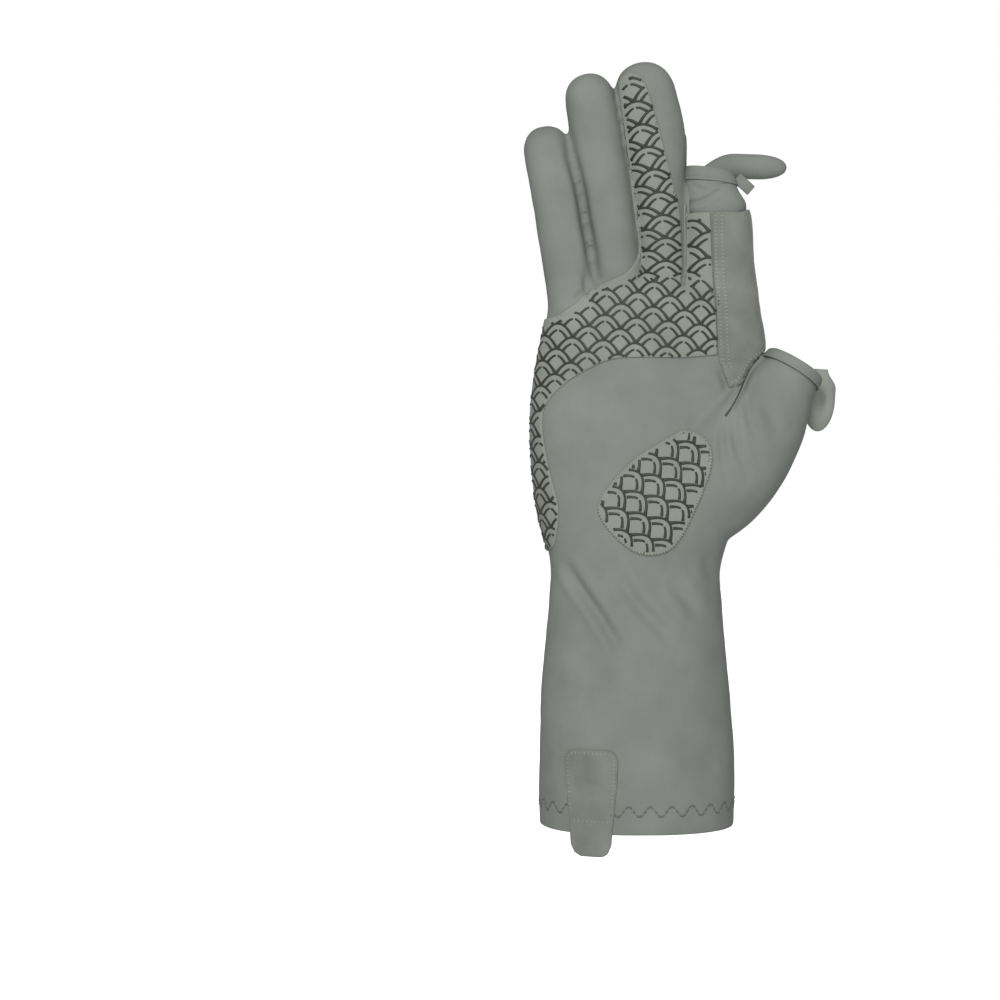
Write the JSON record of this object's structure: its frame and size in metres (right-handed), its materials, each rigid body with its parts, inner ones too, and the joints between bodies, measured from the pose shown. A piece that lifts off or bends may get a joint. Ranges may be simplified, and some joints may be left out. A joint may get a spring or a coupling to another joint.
{
  "type": "fishing glove",
  "caption": "Long-cuff right-hand fishing glove with a scale-print palm grip, suede gusset, fold-back index and thumb tips and a cuff pull tab, filled out as worn.",
  "frame": {"origin": "middle of the cuff's mouth, in the plane of its hem, where the wearer's arm goes in", "axes": "+Z along the hand towards the fingertips, palm towards -Y, thumb towards +X"},
  "size_m": [0.1203, 0.0615, 0.2979],
  "materials": {
    "stretch_fabric": "smooth grey-green stretch knit, matt",
    "printed_grip": "fine knit with dark raised rubber print of overlapping scales",
    "suede": "synthetic suede, short nap, matt"
  },
  "bodies": {
    "root": {"palm_panel": "stretch_fabric", "back_panel": "stretch_fabric", "little_finger_front": "stretch_fabric", "ring_finger_front": "stretch_fabric", "middle_finger_front": "stretch_fabric", "index_finger_front": "stretch_fabric", "little_finger_back": "stretch_fabric", "ring_finger_back": "stretch_fabric", "middle_finger_back": "stretch_fabric", "index_finger_back": "stretch_fabric", "palm_grip": "printed_grip", "heel_grip": "printed_grip", "index_gusset": "suede", "index_sleeve": "stretch_fabric", "index_hem": "stretch_fabric", "index_cap": "stretch_fabric", "index_tab": "suede", "thumb_hem": "stretch_fabric", "thumb_cap": "suede", "cuff_hem": "stretch_fabric", "pull_tab": "suede"}
  },
  "joints": []
}
